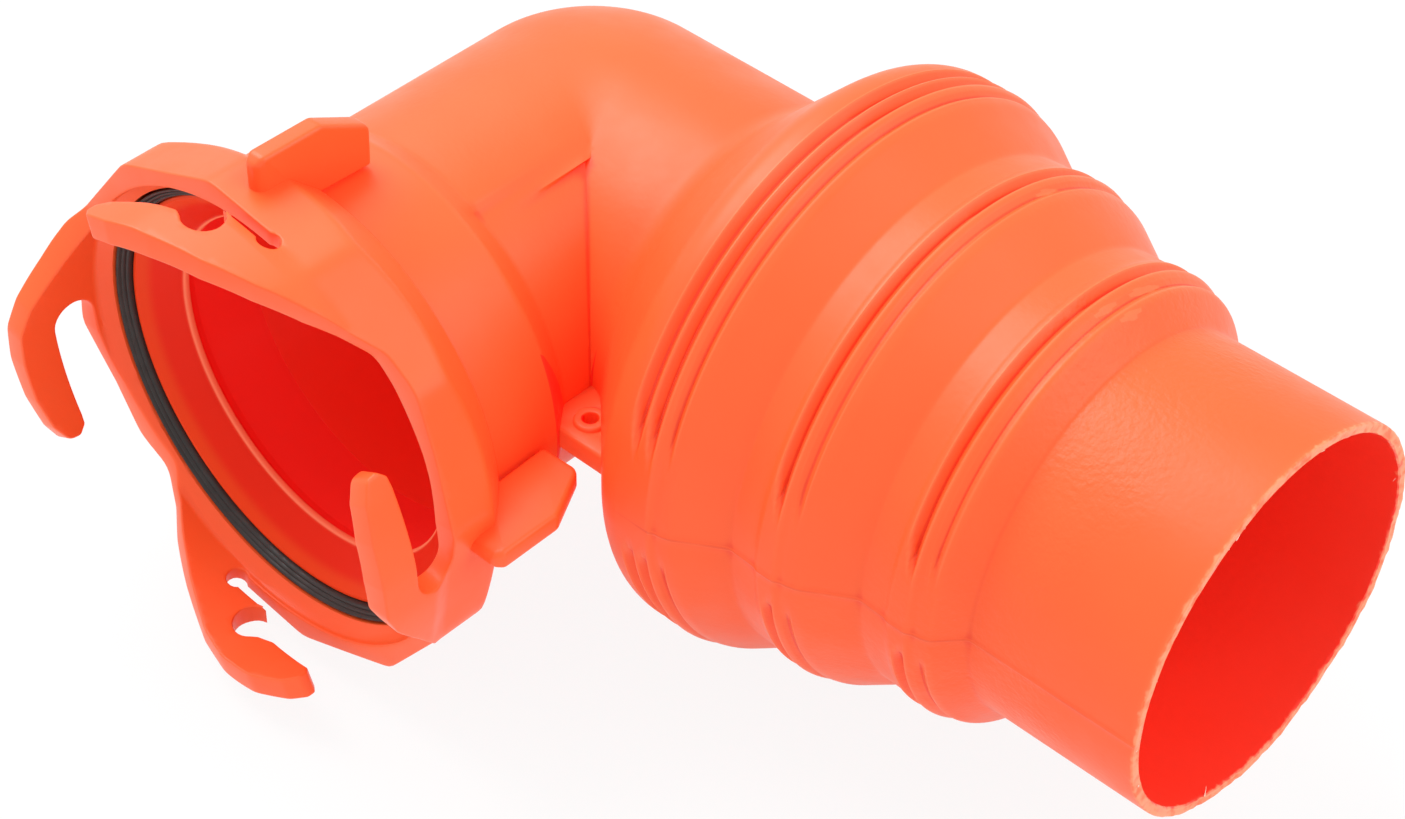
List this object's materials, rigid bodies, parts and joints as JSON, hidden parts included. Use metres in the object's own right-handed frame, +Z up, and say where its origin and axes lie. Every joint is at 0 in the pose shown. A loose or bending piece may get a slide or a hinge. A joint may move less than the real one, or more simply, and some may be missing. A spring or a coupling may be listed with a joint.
{
  "type": "sewer hose elbow adapter",
  "caption": "Right-angle sewer hose adapter with a swivelling bayonet collar, a rubber seal and a hollow stepped nozzle with threaded steps and a plain tail.",
  "frame": {"origin": "centre of the seal's face, on the bayonet's axis", "axes": "-Y out of the bayonet, +X along the nozzle to its tail, +Z up, normal to the web"},
  "size_m": [0.2177, 0.1606, 0.1142],
  "materials": {
    "body_plastic": "gloss",
    "ring_plastic": "gloss",
    "collar_plastic": "gloss",
    "seal_rubber": "matte"
  },
  "bodies": {
    "elbow": {"elbow_nozzle": "body_plastic", "flange_ring": "ring_plastic", "seal": "seal_rubber"},
    "collar": {"bayonet_collar": "collar_plastic"}
  },
  "joints": [
    {"name": "collar_swivel", "type": "hinge", "parent": "elbow", "child": "collar", "pos_m": [0, 0, 0], "axis": [0, -1, 0], "continuous": true}
  ]
}
